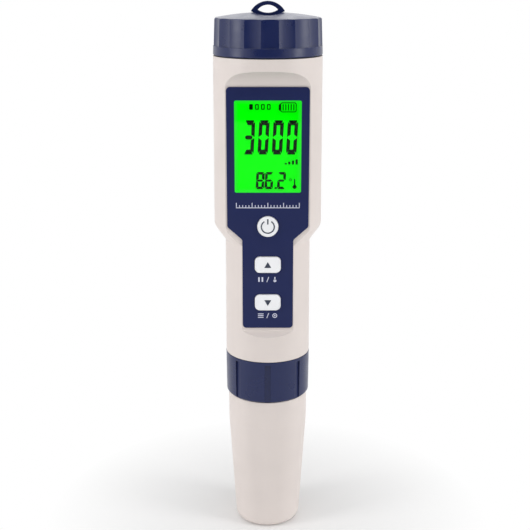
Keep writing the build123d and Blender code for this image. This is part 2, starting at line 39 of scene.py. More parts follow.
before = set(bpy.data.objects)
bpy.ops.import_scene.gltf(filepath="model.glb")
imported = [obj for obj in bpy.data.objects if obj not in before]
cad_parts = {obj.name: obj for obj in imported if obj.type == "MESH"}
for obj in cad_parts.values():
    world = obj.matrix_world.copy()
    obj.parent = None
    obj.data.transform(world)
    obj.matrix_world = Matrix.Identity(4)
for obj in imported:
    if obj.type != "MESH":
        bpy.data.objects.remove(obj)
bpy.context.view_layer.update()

MM = 0.001
display_low, display_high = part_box("lcd_glass")
film_low, film_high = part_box("display_overlay")
power_low, power_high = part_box("power_button")
up_low, up_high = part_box("up_button")
down_low, down_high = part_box("down_button")
cells_low, cells_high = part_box("button_cells")

# Digits of the display, with the segments that each sign lights
SEGMENTS = {"0": "abcdef", "2": "abdeg", "3": "abcdg", "6": "acdefg", "8": "abcdefg"}
LEAN = 0.056
MAIN_RIGHT = 10.35 * MM
MAIN_BOTTOM = 143.15 * MM
SMALL_BOTTOM = 131.1 * MM

# Shares of a segment's thickness that shape a digit
POST_TRIM = 0.28
POST_SHIFT = 0.12
BAR_TRIM = 0.35
MIDDLE_TRIM = 0.87
MIDDLE_SHIFT = 0.14
MIDDLE_STROKE = 0.82
MIDDLE_CORNER = 0.36
TIP = 1.5
TIP_CORNER = 0.1

# Signs on the display
CHARGE_Z = 159.2 * MM
BOXES_Z = 159.35 * MM
STEPS_BOTTOM = 139.7 * MM
HEAT_X = 9.2 * MM

# Signs on the keys
TRIANGLE = 3
TRIANGLE_CORNER = 0.06
ARROW_RADIUS = 1.42 * MM
ARROW_SHIFT = 0.3 * MM

# Marks on the film and on the top cell
SCALE_BOTTOM = 124.75 * MM
SCALE_STEP = 1.087 * MM
LINE = 0.26 * MM
SLASH_TURN = 0.35
MARK_X = 2.5 * MM
UP_MARKS_Z = 98.85 * MM
DOWN_MARKS_Z = 85.4 * MM
CELL_MARK_SHIFT = 4.0 * MM

# Thread ridges, whose walls stand a little apart
NECK_RADIUS = 17.0 * MM
NECK_BOTTOM = 177.0 * MM
NECK_RIDGE = 0.7 * MM
FOOT_RADIUS = 13.2 * MM
FOOT_BOTTOM = 58.0 * MM
FOOT_RIDGE = 0.9 * MM
THREAD_ROOM = 0.3 * MM
CREST_SHARE = 0.4

# Stage, in metres, degrees and watts
FLOOR_RADIUS = 3.0
FLOOR_INSET = 2.4
SHADOW_START = 0.015
SHADOW_END = 0.085
CARD_PLACE = (0, -1.1, 0.35)
CARD_SIZE = (1.3, 1.5, 1)
WORLD_STRENGTH = 0.42
CAMERA_PLACE = (-0.00098, -0.355, 0.203)
CAMERA_TILT = 73.9
CAMERA_LENS = 68.9
LAMPS = (
    ("left_softbox", (-0.72, -0.30, 0.30), (0, 0, 0.10), (0.24, 0.75), 2.75),
    ("right_softbox", (0.72, -0.30, 0.30), (0, 0, 0.10), (0.24, 0.75), 2.75),
    ("top_softbox", (0.0, -0.25, 0.95), (0, 0, 0.08), (0.7, 0.7), 1.3),
    ("back_softbox", (0.0, 0.8, 0.55), (0, 0, 0.1), (0.9, 0.5), 1.0),
)


def shade(red, green, blue):
    """A colour picked on a screen, as the linear values that a shader takes."""
    def channel(value):
        value /= 255
        return value / 12.92 if value <= 0.04045 else ((value + 0.055) / 1.055) ** 2.4
    return channel(red), channel(green), channel(blue)


def colour_property(label, words, default):
    """One colour that a user can change."""
    return FloatVectorProperty(
        name=label, description=words, default=default, subtype="COLOR", size=3, min=0.0, max=1.0
    )


def length_property(label, words, default):
    """One length that a user can change, in metres."""
    return FloatProperty(
        name=label, description=words, default=default, unit="LENGTH", subtype="DISTANCE",
        precision=5, min=0.0,
    )


class TesterColours(PropertyGroup):
    """Colours of the finishes."""
    housing: colour_property("Housing", "Pale plastic of the housing and probe cap", shade(229, 219, 214))
    cap: colour_property("Caps", "Navy plastic of the battery cap and collar", shade(19, 32, 80))
    film: colour_property("Film", "Navy print on the front film", shade(17, 30, 81))
    keys: colour_property("Keys", "White plastic of the keys", shade(249, 250, 253))
    display: colour_property("Display", "Lit green of the display", shade(2, 250, 8))
    ink: colour_property("Display ink", "Dark segments of the display", shade(0, 12, 2))
    signs: colour_property("Key signs", "Dark slate print on the keys", shade(52, 60, 78))
    marks: colour_property("Film marks", "Pale print on the film", shade(214, 217, 236))


class TesterSizes(PropertyGroup):
    """Sizes of what is added to the solids."""
    digit_height: length_property("Main digit height", "Height of the four main digits", 11.7 * MM)
    digit_width: length_property("Main digit width", "Width of one main digit", 3.55 * MM)
    digit_pitch: length_property("Main digit pitch", "Step from one main digit to the next", 4.86 * MM)
    digit_bar: length_property("Main digit bar", "Thickness of a level segment", 1.7 * MM)
    digit_post: length_property("Main digit post", "Thickness of an upright segment", 1.2 * MM)
    small_height: length_property("Small digit height", "Height of the three small digits", 6.0 * MM)
    small_width: length_property("Small digit width", "Width of one small digit", 2.85 * MM)
    small_stroke: length_property("Small digit stroke", "Thickness of a small segment", 0.9 * MM)
    ink_depth: length_property("Print depth", "How far a printed mark stands off its surface", 0.04 * MM)
    neck_pitch: length_property("Neck thread pitch", "Rise of the battery cap thread in a turn", 2.0 * MM)
    foot_pitch: length_property("Foot thread pitch", "Rise of the collar thread in a turn", 2.5 * MM)
    thread_depth: length_property("Thread depth", "How far a thread ridge stands off its wall", 0.22 * MM)
    thread_turns: IntProperty(
        name="Neck thread turns", description="Turns of the battery cap thread on the neck",
        default=3, min=1, max=4,
    )


class Finish:
    """One procedural finish, built node by node on object coordinates."""

    def __init__(self, name, colour, rough, **sockets):
        self.material = bpy.data.materials.new(name)
        self.material.use_nodes = True
        self.tree = self.material.node_tree
        self.shader = self.tree.nodes["Principled BSDF"]
        self.colour = colour
        self.shader.inputs["Base Color"].default_value = (*colour, 1)
        self.shader.inputs["Roughness"].default_value = rough
        for socket, value in sockets.items():
            self.shader.inputs[socket.replace("_", " ")].default_value = value
        self.place = self.node("ShaderNodeTexCoord").outputs["Object"]
        self.normal = None
        self.tint = None

    def node(self, kind, **settings):
        made = self.tree.nodes.new(kind)
        for key, value in settings.items():
            setattr(made, key, value)
        return made

    def link(self, source, target):
        self.tree.links.new(source, target)

    def stretched(self, scale):
        """Object coordinates stretched along an axis, for brushed and drawn surfaces."""
        mapping = self.node("ShaderNodeMapping")
        mapping.inputs["Scale"].default_value = scale
        self.link(self.place, mapping.inputs["Vector"])
        return mapping.outputs["Vector"]

    def noise(self, size, detail=3.0, rough=0.55, place=None):
        """Soft random pattern with features of about the given size in metres."""
        made = self.node("ShaderNodeTexNoise")
        made.inputs["Scale"].default_value = 1 / size
        made.inputs["Detail"].default_value = detail
        made.inputs["Roughness"].default_value = rough
        self.link(place or self.place, made.inputs["Vector"])
        return made.outputs["Fac"]

    def spread(self, source, low, high, start=0.3, end=0.7):
        """A pattern turned into a number between low and high."""
        made = self.node("ShaderNodeMapRange")
        made.inputs["From Min"].default_value = start
        made.inputs["From Max"].default_value = end
        made.inputs["To Min"].default_value = low
        made.inputs["To Max"].default_value = high
        self.link(source, made.inputs["Value"])
        return made.outputs["Result"]

    def mix(self, amount, first, second):
        """Two colours, or a colour and the last one made, mixed by a pattern."""
        made = self.node("ShaderNodeMix", data_type="RGBA")
        self.link(amount, made.inputs["Factor"])
        for socket, value in ((made.inputs[6], first), (made.inputs[7], second)):
            if isinstance(value, tuple):
                socket.default_value = (*value, 1)
            else:
                self.link(value, socket)
        return made.outputs[2]

    def tinted(self, factor):
        """The finish's own colour, made lighter or darker."""
        return tuple(min(1.0, part * factor) for part in self.colour)

    def mottle(self, size, amount):
        """Slight drift of colour, as moulded and cast surfaces have."""
        drift = self.spread(self.noise(size), 0.0, 1.0)
        self.tint = self.mix(drift, self.tinted(1 - amount), self.tinted(1 + amount))
        self.link(self.tint, self.shader.inputs["Base Color"])
        return self

    def patchy(self, size, low, high, place=None):
        """Roughness that drifts, from handling."""
        self.link(self.spread(self.noise(size, place=place), low, high), self.shader.inputs["Roughness"])
        return self

    def grain(self, size, depth, strength=0.6, place=None, detail=3.0):
        """Fine relief in the surface."""
        bump = self.node("ShaderNodeBump")
        bump.inputs["Strength"].default_value = strength
        bump.inputs["Distance"].default_value = depth
        self.link(self.noise(size, detail, place=place), bump.inputs["Height"])
        if self.normal:
            self.link(self.normal, bump.inputs["Normal"])
        self.normal = bump.outputs["Normal"]
        self.link(self.normal, self.shader.inputs["Normal"])
        return self

    def edges(self, width, lighter, strength=0.5):
        """Softened edges, with a painted highlight: a little lighter along edges and corners, broken up by
        noise.
        """
        bevel = self.node("ShaderNodeBevel", samples=4)
        bevel.inputs["Radius"].default_value = width
        facing = self.node("ShaderNodeVectorMath", operation="DOT_PRODUCT")
        self.link(bevel.outputs["Normal"], facing.inputs[0])
        self.link(self.node("ShaderNodeNewGeometry").outputs["Normal"], facing.inputs[1])
        # painted highlight, strongest where the softened normal turns away from the true one, on edges and
        # corners
        highlight_share = self.spread(facing.outputs["Value"], strength, 0.0, 0.86, 0.985)
        broken = self.spread(self.noise(0.0011, 4.0), 0.25, 1.0)
        painted_edge_highlight = self.node("ShaderNodeMath", operation="MULTIPLY")
        self.link(highlight_share, painted_edge_highlight.inputs[0])
        self.link(broken, painted_edge_highlight.inputs[1])
        self.link(self.mix(painted_edge_highlight.outputs["Value"], self.tint, lighter), self.shader.inputs["Base Color"])
        self.normal = bevel.outputs["Normal"]
        return self


def moulded(name, colour, rough, grain_size=0.00035, grain_depth=0.00002, edge=0.00018, highlight_lift=1.5, **sockets):
    """Injection moulded plastic with a fine tool grain."""
    finish = Finish(name, colour, rough, **sockets)
    finish.mottle(0.02, 0.025)
    finish.patchy(0.006, rough - 0.05, rough + 0.06)
    # painted highlight on the edges: a lighter copy of the plastic's colour
    finish.edges(edge, tuple(min(0.9, part * highlight_lift + 0.012) for part in colour))
    finish.grain(grain_size, grain_depth)
    return finish


def drawn_metal(name, colour, rough, stretch=(1, 1, 12), depth=0.000006):
    """Plated or polished metal with fine draw marks along one axis."""
    finish = Finish(name, colour, rough, Metallic=1.0)
    finish.mottle(0.004, 0.06)
    lines = finish.stretched(tuple(1 / part for part in stretch))
    finish.patchy(0.0004, rough - 0.06, rough + 0.1, place=lines)
    finish.grain(0.00025, depth, 0.5, place=lines)
    return finish


def rubber(name, colour):
    """Matte moulded rubber with a dusty bloom."""
    finish = Finish(name, colour, 0.75, Sheen_Weight=0.15, Sheen_Roughness=0.5)
    finish.mottle(0.003, 0.12)
    finish.patchy(0.002, 0.62, 0.85)
    finish.grain(0.0002, 0.00002, 0.7)
    return finish


def circuit_board(name):
    """Green solder mask over copper tracks."""
    finish = Finish(name, shade(20, 96, 52), 0.35, Coat_Weight=0.4, Coat_Roughness=0.15)
    tracks = finish.node("ShaderNodeTexBrick", offset=0.37, squash=0.6, squash_frequency=3)
    turned = finish.node("ShaderNodeMapping")
    turned.inputs["Rotation"].default_value = (math.radians(90), 0, 0)
    finish.link(finish.place, turned.inputs["Vector"])
    finish.link(turned.outputs["Vector"], tracks.inputs["Vector"])
    for socket, value in (
        ("Scale", 170.0), ("Mortar Size", 0.055), ("Mortar Smooth", 0.2),
        ("Brick Width", 1.3), ("Row Height", 0.24),
    ):
        tracks.inputs[socket].default_value = value
    tracks.inputs["Color1"].default_value = (*finish.tinted(1.0), 1)
    tracks.inputs["Color2"].default_value = (*finish.tinted(0.82), 1)
    tracks.inputs["Mortar"].default_value = (*finish.tinted(1.75), 1)
    finish.link(tracks.outputs["Color"], finish.shader.inputs["Base Color"])
    bump = finish.node("ShaderNodeBump")
    bump.inputs["Distance"].default_value = 0.00003
    bump.inputs["Strength"].default_value = 0.5
    finish.link(tracks.outputs["Fac"], bump.inputs["Height"])
    finish.link(bump.outputs["Normal"], finish.shader.inputs["Normal"])
    return finish


def clear_pane(name, tint, rough=0.03, ior=1.46, specular=0.5):
    """Clear moulded window or sensor glass."""
    finish = Finish(name, tint, rough, Transmission_Weight=1.0, IOR=ior, Specular_IOR_Level=specular)
    finish.patchy(0.004, rough * 0.6, rough * 2.0)
    finish.grain(0.003, 0.000004, 0.2)
    return finish


def lit_display(name, colour):
    """The display's green field, lit from behind, with a painted brighter glow that makes it a little paler
    near its edges.
    """
    finish = Finish(name, colour, 0.45)
    parts = finish.node("ShaderNodeSeparateXYZ")
    finish.link(finish.place, parts.inputs["Vector"])
    edge_glow = None
    for axis, index in (("X", 0), ("Z", 2)):
        centre = (display_low[index] + display_high[index]) / 2
        offset = finish.node("ShaderNodeMath", operation="SUBTRACT")
        finish.link(parts.outputs[axis], offset.inputs[0])
        offset.inputs[1].default_value = centre
        far = finish.node("ShaderNodeMath", operation="ABSOLUTE")
        finish.link(offset.outputs["Value"], far.inputs[0])
        inside = (display_high[index] - display_low[index]) / 2
        edge_glow_share = finish.spread(far.outputs["Value"], 0.0, 1.0, inside - 1.6 * MM, inside)
        if edge_glow is None:
            edge_glow = edge_glow_share
        else:
            larger = finish.node("ShaderNodeMath", operation="MAXIMUM")
            finish.link(edge_glow, larger.inputs[0])
            finish.link(edge_glow_share, larger.inputs[1])
            edge_glow = larger.outputs["Value"]
    cloud = finish.mix(finish.spread(finish.noise(0.008), 0.0, 1.0), finish.tinted(0.97), finish.tinted(1.02))
    # painted glow: the field turns pale green near its edges, in colour and emission alike
    field = finish.mix(edge_glow, cloud, shade(74, 236, 84))
    finish.link(field, finish.shader.inputs["Base Color"])
    finish.link(field, finish.shader.inputs["Emission Color"])
    finish.shader.inputs["Emission Strength"].default_value = 0.3
    finish.grain(0.0006, 0.000004, 0.3)
    return finish


def light_spreader(name, colour, rough, **sockets):
    """A smooth light-spreading sheet behind the display."""
    finish = Finish(name, colour, rough, **sockets)
    finish.mottle(0.005, 0.02)
    finish.patchy(0.003, rough - 0.05, rough + 0.05)
    finish.grain(0.0005, 0.000005, 0.3)
    return finish


def printed(name, colour, rough=0.55, shine=0.5):
    """Screen-printed ink, with the slight unevenness of its edge and film."""
    finish = Finish(name, colour, rough, Specular_IOR_Level=shine)
    finish.mottle(0.0012, 0.06)
    finish.patchy(0.0008, rough - 0.08, rough + 0.1)
    finish.grain(0.00012, 0.000006, 0.4)
    return finish


def front_film(name, colour):
    """Satin polyester film, printed from behind, with a fine matt texture."""
    finish = Finish(name, colour, 0.38, Specular_IOR_Level=0.3)
    finish.mottle(0.014, 0.04)
    finish.patchy(0.008, 0.32, 0.46)
    # painted highlight on the film's edges: a lighter copy of its navy
    finish.edges(0.00012, tuple(part * 1.6 + 0.02 for part in colour), 0.35)
    finish.grain(0.00016, 0.000008, 0.5)
    return finish


def seen_directly(tree):
    """A socket that is one where the camera sees a surface, directly, mirrored or through glass."""
    path = tree.nodes.new("ShaderNodeLightPath")
    total = path.outputs["Is Camera Ray"]
    for name in ("Is Glossy Ray", "Is Transmission Ray"):
        larger = tree.nodes.new("ShaderNodeMath")
        larger.operation = "MAXIMUM"
        tree.links.new(total, larger.inputs[0])
        tree.links.new(path.outputs[name], larger.inputs[1])
        total = larger.outputs["Value"]
    return total


def mix_shaders(tree, first, second, output):
    """Mixes two shaders into an output and gives back the socket that sets their share."""
    blend = tree.nodes.new("ShaderNodeMixShader")
    tree.links.new(first.outputs[0], blend.inputs[1])
    tree.links.new(second.outputs[0], blend.inputs[2])
    tree.links.new(blend.outputs[0], output.inputs["Surface"])
    return blend.inputs[0]


def card_finish():
    """Dark card behind the camera, seen only in reflections, which keeps the front of glossy parts deep."""
    finish = Finish("studio_card_finish", shade(30, 33, 44), 0.9)
    finish.mottle(0.3, 0.05)
    return finish.material


def floor_finish():
    """Pale floor that keeps the shadow near the tester and fades to white further out."""
    finish = Finish("studio_floor_finish", shade(250, 250, 250), 0.9)
    finish.mottle(0.2, 0.004)
    finish.grain(0.002, 0.00002, 0.1)
    tree = finish.tree
    white = finish.node("ShaderNodeEmission")
    white.inputs["Color"].default_value = (1, 1, 1, 1)
    far = finish.node("ShaderNodeVectorMath", operation="LENGTH")
    finish.link(finish.place, far.inputs[0])
    fade = finish.spread(far.outputs["Value"], 0.0, 1.0, SHADOW_START, SHADOW_END)
    share = finish.node("ShaderNodeMath", operation="MULTIPLY")
    finish.link(fade, share.inputs[0])
    finish.link(seen_directly(tree), share.inputs[1])
    socket = mix_shaders(tree, finish.shader, white, tree.nodes["Material Output"])
    finish.link(share.outputs["Value"], socket)
    return finish.material


finishes = {}


def make_finishes(colours):
    """Every finish, under the name of the record's slot that it dresses."""
    made = {
        "housing_plastic": moulded("housing_plastic_finish", tuple(colours.housing), 0.46),
        "cap_plastic": moulded(
            # the cap's edges get a strong painted highlight, about twice as light as its navy
            "cap_plastic_finish", tuple(colours.cap), 0.3, edge=0.00025, highlight_lift=2.0, Specular_IOR_Level=0.42
        ),
        "overlay_film": front_film("overlay_film_finish", tuple(colours.film)),
        "clear_window": clear_pane("clear_window_finish", (1.0, 1.0, 1.0), 0.02, 1.25, 0.3),
        "lcd_green": lit_display("lcd_green_finish", tuple(colours.display)),
        "white_reflector": moulded("white_reflector_finish", shade(236, 238, 236), 0.4),
        "light_guide": light_spreader(
            "light_guide_finish", shade(226, 244, 230), 0.2, Transmission_Weight=0.4
        ),
        "grey_rubber": rubber("grey_rubber_finish", shade(104, 106, 110)),
        "board_green": circuit_board("board_green_finish"),
        "chip_black": moulded("chip_black_finish", shade(30, 31, 34), 0.5, grain_size=0.0002),
        "screw_steel": drawn_metal("screw_steel_finish", shade(188, 190, 194), 0.3),
        "carrier_plastic": moulded("carrier_plastic_finish", shade(58, 60, 66), 0.5),
        "cell_steel": drawn_metal("cell_steel_finish", shade(206, 208, 210), 0.22, stretch=(1, 1, 20)),
        "spring_steel": drawn_metal("spring_steel_finish", shade(196, 198, 202), 0.2),
        "contact_brass": drawn_metal("contact_brass_finish", shade(222, 188, 110), 0.24),
        "seal_rubber": rubber("seal_rubber_finish", shade(26, 27, 30)),
        "button_white": moulded(
            "button_white_finish", tuple(colours.keys), 0.4, grain_size=0.0002, highlight_lift=1.02
        ),
        "probe_plastic": moulded("probe_plastic_finish", shade(44, 46, 52), 0.42),
        "sensor_glass": clear_pane("sensor_glass_finish", shade(244, 250, 252), 0.02),
        "sensor_steel": drawn_metal("sensor_steel_finish", shade(198, 200, 204), 0.18),
        "junction_ceramic": moulded(
            "junction_ceramic_finish", shade(232, 228, 216), 0.85, grain_size=0.00012, grain_depth=0.00004
        ),
        "display_ink": printed("display_ink_finish", tuple(colours.ink), 0.6, 0.05),
        "key_signs": printed("key_signs_finish", tuple(colours.signs)),
        "film_marks": printed("film_marks_finish", tuple(colours.marks)),
        "cell_marks": printed("cell_marks_finish", shade(96, 98, 104), 0.45),
    }
    for slot, finish in made.items():
        finishes[slot] = finish.material


def deselect():
    """Leaves edit mode and drops the whole selection."""
    object_mode()
    bpy.ops.object.select_all(action="DESELECT")


def object_mode():
    """Leaves edit mode, if a mesh is being edited."""
    if bpy.context.mode != "OBJECT":
        bpy.ops.object.mode_set(mode="OBJECT")


def select_points(piece, test):
    """Opens the piece for editing with only the points that pass the test selected."""
    object_mode()
    bpy.ops.object.mode_set(mode="EDIT")
    bpy.ops.mesh.select_mode(type="VERT")
    bpy.ops.mesh.select_all(action="DESELECT")
    bpy.ops.object.mode_set(mode="OBJECT")
    for point in piece.data.vertices:
        point.select = bool(test(point.co))
    bpy.ops.object.mode_set(mode="EDIT")


def settle(piece, scale=(1, 1, 1)):
    """Writes the piece's place, turn and scale into its mesh."""
    piece.scale = scale
    bpy.ops.object.transform_apply(location=True, rotation=True, scale=True)


def close_up(merge=0.0):
    """Merges points nearer than merge, turns every face outwards and leaves edit mode."""
    bpy.ops.mesh.select_all(action="SELECT")
    if merge:
        bpy.ops.mesh.remove_doubles(threshold=merge)
    bpy.ops.mesh.normals_make_consistent(inside=False)
    bpy.ops.object.mode_set(mode="OBJECT")


def thicken(move):
    """Gives the flat outline that is being edited its thickness, by the given move."""
    bpy.ops.mesh.select_all(action="SELECT")
    bpy.ops.mesh.extrude_region_move(TRANSFORM_OT_translate={"value": move})
    close_up()


def plate(x, z, width, height, face, depth, corner=0.0, band=0.0, taper=1.0, turn=0.0):
    """A flat printed shape on a front face, with cut corners, an open middle or a narrowed inner side."""
    deselect()
    bpy.ops.mesh.primitive_plane_add(size=1, location=(x, face, z), rotation=(math.pi / 2, turn, 0))
    piece = bpy.context.object
    settle(piece, (width, height, 1))
    if taper == 1.0:
        bpy.ops.object.mode_set(mode="EDIT")
    else:
        middle = Vector((x, face, z))
        out = Vector((math.sin(turn), 0, math.cos(turn)))
        along = Vector((math.cos(turn), 0, -math.sin(turn)))
        for side in (-1, 1):
            select_points(
                piece, lambda co: (co - middle).dot(out) < 0 and (co - middle).dot(along) * side > 0
            )
            shift = -side * width * (1 - taper) / 2
            bpy.ops.transform.translate(value=tuple(along * shift))
    bpy.ops.mesh.select_all(action="SELECT")
    if corner:
        bpy.ops.mesh.bevel(offset=corner, segments=4, affect="VERTICES")
    if band:
        bpy.ops.mesh.select_mode(type="FACE")
        bpy.ops.mesh.select_all(action="SELECT")
        bpy.ops.mesh.inset(thickness=band)
        bpy.ops.mesh.delete(type="FACE")
    thicken((0, -depth, 0))
    return piece


def disc(x, z, radius, face, depth, sides=24, turn=0.0):
    """A flat printed disc, or with few sides a triangle, on a front face."""
    deselect()
    bpy.ops.mesh.primitive_circle_add(
        vertices=sides, radius=radius, fill_type="NGON",
        location=(x, face, z), rotation=(math.pi / 2, turn, 0),
    )
    piece = bpy.context.object
    settle(piece)
    bpy.ops.object.mode_set(mode="EDIT")
    if sides == TRIANGLE:
        bpy.ops.mesh.bevel(offset=radius * TRIANGLE_CORNER, segments=3, affect="VERTICES")
    thicken((0, -depth, 0))
    return piece


def arc(x, z, radius, stroke, face, depth, start=0, sweep=360, steps=40):
    """A flat printed arc: a small profile spun round a centre on a front face."""
    deselect()
    angle = math.radians(start)
    middle_y = face - depth / 2
    bpy.ops.mesh.primitive_plane_add(
        size=1,
        location=(x + radius * math.sin(angle), middle_y, z + radius * math.cos(angle)),
        rotation=(0, angle - math.pi / 2, 0),
    )
    piece = bpy.context.object
    settle(piece, (stroke, depth, 1))
    bpy.ops.object.mode_set(mode="EDIT")
    bpy.ops.mesh.select_all(action="SELECT")
    bpy.ops.mesh.spin(steps=steps, angle=-math.radians(sweep), center=(x, middle_y, z), axis=(0, 1, 0))
    close_up(merge=0.002 * MM)
    return piece


def joined(pieces, name, finish, body):
    """Joins the parts of one piece, names it, gives it its finish and ties it to its body."""
    deselect()
    for part in pieces:
        part.select_set(True)
    bpy.context.view_layer.objects.active = pieces[0]
    if len(pieces) > 1:
        bpy.ops.object.join()
    piece = bpy.context.view_layer.objects.active
    settle(piece)
    piece.name = name
    piece.data.name = name
    piece.data.materials.clear()
    piece.data.materials.append(finishes[finish])
    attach(piece, body)
    deselect()
    return piece


def digit(sign, right, bottom, width, height, bar, post, face, depth, gap=0.12 * MM):
    """One leaning seven-segment digit. Right is its right side at the top."""
    middle_x = right - width / 2
    middle_z = bottom + height / 2
    turn = math.atan(LEAN)
    half = height / 2
    reach = half - bar * POST_TRIM - gap
    across = width - 0.9 * gap - post * BAR_TRIM
    sideways = (width - post) / 2
    upwards = half / 2 - bar * POST_SHIFT
    places = {
        "a": (0, half - bar / 2, across, bar, 0),
        "d": (0, bar / 2 - half, across, bar, math.pi),
        "b": (sideways, upwards, reach, post, math.pi / 2 + turn),
        "c": (sideways, -upwards, reach, post, math.pi / 2 + turn),
        "e": (-sideways, -upwards, reach, post, turn - math.pi / 2),
        "f": (-sideways, upwards, reach, post, turn - math.pi / 2),
    }
    parts = []
    for name in SEGMENTS[sign]:
        if name == "g":
            parts.append(plate(
                middle_x - half * LEAN - post * MIDDLE_SHIFT, middle_z, width - MIDDLE_TRIM * post,
                bar * MIDDLE_STROKE, face, depth, corner=bar * MIDDLE_CORNER,
            ))
            continue
        x, z, length, stroke, side = places[name]
        inner = (length - TIP * min(stroke, length / 3)) / length
        parts.append(plate(
            middle_x + x + (z - half) * LEAN, middle_z + z, length, stroke, face, depth,
            corner=stroke * TIP_CORNER, taper=inner, turn=side,
        ))
    return parts


def thread_arc(radius, depth, width, bottom, pitch, start, sweep, steps=48):
    """One thread ridge that climbs round the Z axis. A negative depth stands inwards from its wall."""
    deselect()
    bpy.ops.mesh.primitive_plane_add(size=1, location=(radius, 0, bottom), rotation=(math.pi / 2, 0, 0))
    ridge = bpy.context.object
    settle(ridge, (2 * abs(depth), width, 1))
    select_points(ridge, lambda co: (co.x - radius) * depth > 0)
    bpy.ops.transform.resize(value=(1, 1, CREST_SHARE))
    bpy.ops.mesh.select_all(action="SELECT")
    bpy.ops.mesh.delete(type="ONLY_FACE")
    bpy.ops.object.mode_set(mode="OBJECT")
    ridge.rotation_euler = (0, 0, math.radians(start))
    bpy.ops.object.transform_apply(location=False, rotation=True, scale=False)
    climb = ridge.modifiers.new("climb", "SCREW")
    climb.axis = "Z"
    climb.angle = math.radians(sweep)
    climb.screw_offset = pitch * sweep / 360
    climb.steps = climb.render_steps = steps
    climb.use_merge_vertices = False
    climb.use_smooth_shade = True
    bpy.ops.object.modifier_apply(modifier=climb.name)
    bpy.ops.object.mode_set(mode="EDIT")
    bpy.ops.mesh.select_mode(type="EDGE")
    bpy.ops.mesh.select_all(action="DESELECT")
    bpy.ops.mesh.select_non_manifold()
    bpy.ops.mesh.edge_face_add()
    close_up(merge=0.001 * MM)
    return ridge


class TESTER_OT_finishes(Operator):
    """Make every finish and put it on the solids that it belongs to"""
    bl_idname = "tester.finishes"
    bl_label = "Finishes"

    def execute(self, context):
        make_finishes(context.scene.tester_colours)
        for name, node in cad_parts.items():
            for place, material in enumerate(node.data.materials):
                slot = material.name.split(".")[0]
                if slot not in finishes:
                    raise RuntimeError(f"no finish is made for the slot {slot} of {name}")
                node.data.materials[place] = finishes[slot]
        return {"FINISHED"}


class TESTER_OT_display_digits(Operator):
    """Set the main and small digits, the charge sign and the small signs of the display"""
    bl_idname = "tester.display_digits"
    bl_label = "Display digits"

    def execute(self, context):
        sizes = context.scene.tester_sizes
        face = display_low[1]
        depth = sizes.ink_depth
        parts = []
        for place, sign in enumerate("3000"):
            right = MAIN_RIGHT - (3 - place) * sizes.digit_pitch
            parts += digit(
                sign, right, MAIN_BOTTOM, sizes.digit_width, sizes.digit_height,
                sizes.digit_bar, sizes.digit_post, face, depth,
            )
        for sign, right in (("8", -1.05), ("6", 2.0), ("2", 6.3)):
            parts += digit(
                sign, right * MM, SMALL_BOTTOM, sizes.small_width, sizes.small_height,
                sizes.small_stroke, sizes.small_stroke, face, depth, gap=0.05 * MM,
            )
        parts.append(plate(2.72 * MM, 131.5 * MM, 0.75 * MM, 0.75 * MM, face, depth, corner=0.15 * MM))
        joined(parts, "display_digits", "display_ink", "housing")
        charge = [
            plate(6.95 * MM, CHARGE_Z, 5.5 * MM, 3.35 * MM, face, depth, corner=0.7 * MM, band=0.3 * MM),
            plate(3.92 * MM, CHARGE_Z, 1.7 * MM, 0.55 * MM, face, depth, taper=1.5, turn=-math.pi / 2),
        ]
        for place in range(5):
            charge.append(plate((5.15 + 0.9 * place) * MM, CHARGE_Z, 0.36 * MM, 2.1 * MM, face, depth))
        joined(charge, "charge_sign", "display_ink", "housing")
        signs = []
        for place in range(4):
            signs.append(plate(
                (-5.7 + 2.0 * place) * MM, BOXES_Z, 1.25 * MM, 1.9 * MM, face, depth,
                corner=0.3 * MM, band=0.36 * MM if place > 0 else 0.0,
            ))
        for place, height in enumerate((0.6, 1.0, 1.4, 1.8)):
            signs.append(plate(
                (6.1 + 1.25 * place) * MM, STEPS_BOTTOM + height * MM / 2, 0.75 * MM, height * MM,
                face, depth, corner=0.12 * MM,
            ))
        signs.append(arc(7.75 * MM, 134.35 * MM, 0.42 * MM, 0.24 * MM, face, depth, steps=24))
        signs.append(plate(HEAT_X, 133.35 * MM, 0.5 * MM, 2.7 * MM, face, depth, corner=0.24 * MM))
        signs.append(disc(HEAT_X, 131.9 * MM, 0.72 * MM, face, depth))
        joined(signs, "display_signs", "display_ink", "housing")
        return {"FINISHED"}


class TESTER_OT_key_signs(Operator):
    """Print the power sign and the two arrows on the keys"""
    bl_idname = "tester.key_signs"
    bl_label = "Key signs"

    def execute(self, context):
        depth = context.scene.tester_sizes.ink_depth
        face = power_low[1]
        middle = (power_low[2] + power_high[2]) / 2
        power = [
            arc(0, middle, 2.24 * MM, 0.42 * MM, face, depth, start=32, sweep=296),
            plate(0, middle + 1.85 * MM, 0.46 * MM, 1.9 * MM, face, depth, corner=0.15 * MM),
        ]
        joined(power, "power_sign", "key_signs", "power_key")
        middle = (up_low[2] + up_high[2]) / 2
        arrow = disc(0, middle - ARROW_SHIFT, ARROW_RADIUS, up_low[1], depth, sides=TRIANGLE)
        joined([arrow], "up_sign", "key_signs", "up_key")
        middle = (down_low[2] + down_high[2]) / 2
        arrow = disc(0, middle + ARROW_SHIFT, ARROW_RADIUS, down_low[1], depth, sides=TRIANGLE, turn=math.pi)
        joined([arrow], "down_sign", "key_signs", "down_key")
        return {"FINISHED"}


